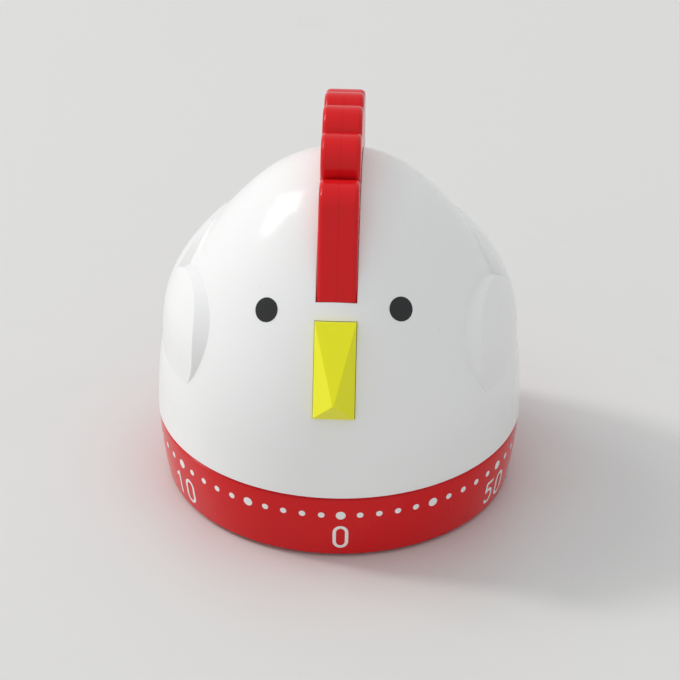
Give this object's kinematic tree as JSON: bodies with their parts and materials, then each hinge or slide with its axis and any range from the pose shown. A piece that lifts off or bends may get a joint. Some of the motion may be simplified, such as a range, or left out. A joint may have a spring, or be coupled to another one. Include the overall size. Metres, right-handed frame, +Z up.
{
  "type": "kitchen timer",
  "caption": "Wind-up kitchen timer shaped as a chicken: a white dome with comb, beak and wings turns on a red minute ring over a clockwork movement and bell.",
  "frame": {"origin": "centre of the flat underside, on the dome axis", "axes": "+Z up along the dome axis, -Y towards the beak and the 0 mark"},
  "size_m": [0.0704, 0.0728, 0.0769],
  "materials": {
    "white_plastic": "glossy",
    "red_plastic": "glossy",
    "yellow_plastic": "glossy",
    "cover_plastic": "matte",
    "steel": "brushed",
    "spring_steel": "blued",
    "brass": "satin",
    "bell_steel": "bright"
  },
  "bodies": {
    "base": {"bell": "bell_steel", "bell_bush": "brass", "bell_nut": "steel", "bell_washer": "steel", "bottom_cover": "cover_plastic", "cover_screw_1": "steel", "cover_screw_2": "steel", "cover_screw_3": "steel", "dial_ring": "red_plastic", "hairspring": "spring_steel", "hairspring_stud": "steel", "hammer_bush": "brass", "hammer_spring": "spring_steel", "lower_plate": "brass", "mainspring": "spring_steel", "movement_screw_1": "steel", "movement_screw_2": "steel", "movement_screw_3": "steel", "pillar_1": "brass", "pillar_2": "brass", "pillar_3": "brass", "pillar_4": "brass", "pillar_nut_1": "brass", "pillar_nut_2": "brass", "pillar_nut_3": "brass", "pillar_nut_4": "brass", "spring_post": "steel", "stop_pin": "steel", "upper_plate": "brass"},
    "dome": {"dome_shell": "white_plastic", "comb": "red_plastic", "comb_screw_1": "steel", "comb_screw_2": "steel", "beak": "yellow_plastic", "beak_retainer": "steel", "hub_clip": "steel", "main_arbor": "steel", "ratchet_wheel": "steel", "trip_cam": "brass", "stop_arm": "brass"},
    "main_wheel": {"main_wheel": "brass", "click_pin": "steel", "click_spring": "spring_steel"},
    "click": {"click": "steel"},
    "second_wheel": {"second_wheel": "brass", "second_pinion": "steel"},
    "third_wheel": {"third_wheel": "brass", "third_pinion": "steel"},
    "escape_wheel": {"escape_wheel": "brass", "escape_pinion": "steel"},
    "balance": {"balance_staff": "steel", "balance_wheel": "brass", "anchor": "brass"},
    "hammer": {"hammer_arbor": "steel", "hammer_arm": "steel", "hammer_head": "steel", "trip_arm": "steel"}
  },
  "joints": [
    {"name": "dome_turn", "type": "hinge", "parent": "base", "child": "dome", "pos_m": [0, 0, 0], "axis": [0, 0, 1], "range_deg": [-336, 0], "deforming": ["mainspring"]},
    {"name": "main_wheel_turn", "type": "hinge", "parent": "base", "child": "main_wheel", "pos_m": [0, 0, 0], "axis": [0, 0, 1], "range_deg": [-336, 0]},
    {"name": "click_swing", "type": "hinge", "parent": "main_wheel", "child": "click", "pos_m": [0.00642, 0.00713, 0], "axis": [0, 0, 1], "range_deg": [-10, 0], "stiffness_Nm_per_rad": 0.00002, "deforming": ["click_spring"]},
    {"name": "second_wheel_turn", "type": "hinge", "parent": "base", "child": "second_wheel", "pos_m": [-0.01586, -0.0074, 0], "axis": [0, 0, 1], "range_deg": [0, 2016]},
    {"name": "third_wheel_turn", "type": "hinge", "parent": "base", "child": "third_wheel", "pos_m": [-0.00905, -0.01727, 0], "axis": [0, 0, 1], "range_deg": [-10080, 0]},
    {"name": "escape_wheel_turn", "type": "hinge", "parent": "base", "child": "escape_wheel", "pos_m": [0.00194, -0.0179, 0], "axis": [0, 0, 1], "range_deg": [0, 45360]},
    {"name": "balance_swing", "type": "hinge", "parent": "base", "child": "balance", "pos_m": [0.01043, -0.01823, 0], "axis": [0, 0, 1], "range_deg": [-5, 5], "stiffness_Nm_per_rad": 0.00001, "deforming": ["hairspring"]},
    {"name": "hammer_swing", "type": "hinge", "parent": "base", "child": "hammer", "pos_m": [-0.00252, 0.01428, 0], "axis": [0, 0, 1], "range_deg": [-12, 5], "stiffness_Nm_per_rad": 0.0005, "deforming": ["hammer_spring"]}
  ],
  "couplings": [
    {"joint": "main_wheel_turn", "follows": "dome_turn", "ratio": 1},
    {"joint": "second_wheel_turn", "follows": "dome_turn", "ratio": -6},
    {"joint": "third_wheel_turn", "follows": "dome_turn", "ratio": 30},
    {"joint": "escape_wheel_turn", "follows": "dome_turn", "ratio": -135}
  ]
}
